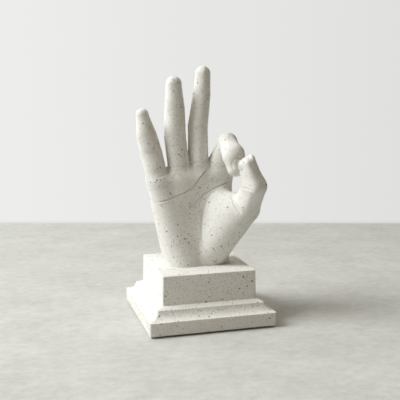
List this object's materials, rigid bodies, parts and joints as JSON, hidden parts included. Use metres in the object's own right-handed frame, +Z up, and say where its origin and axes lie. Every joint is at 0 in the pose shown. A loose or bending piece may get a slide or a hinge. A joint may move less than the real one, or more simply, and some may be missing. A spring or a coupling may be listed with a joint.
{
  "type": "hand sculpture",
  "caption": "Speckled cast-stone right hand, thumb and forefinger closed in a ring and the other fingers upright, on a square stepped plinth with a felt base.",
  "frame": {"origin": "bottom centre of the felt base, on the surface that the sculpture stands on", "axes": "+Z up through the wrist to the fingertips, the palm faces -Y, the thumb is on the +X side"},
  "size_m": [0.114, 0.114, 0.2282],
  "materials": {
    "speckled_stone": "matt white cast stone with fine dark speckles",
    "felt": "dark wool felt",
    "zinc_steel": "bright zinc plate",
    "brass": "turned brass"
  },
  "bodies": {
    "root": {"hand_casting": "speckled_stone", "plinth_die": "speckled_stone", "plinth_foot": "speckled_stone", "felt_base": "felt", "tie_stud": "zinc_steel", "wrist_insert": "brass", "clamp_washer": "zinc_steel", "spring_washer": "zinc_steel", "clamp_nut": "zinc_steel", "wrist_pin": "zinc_steel", "die_pin": "zinc_steel"}
  },
  "joints": []
}
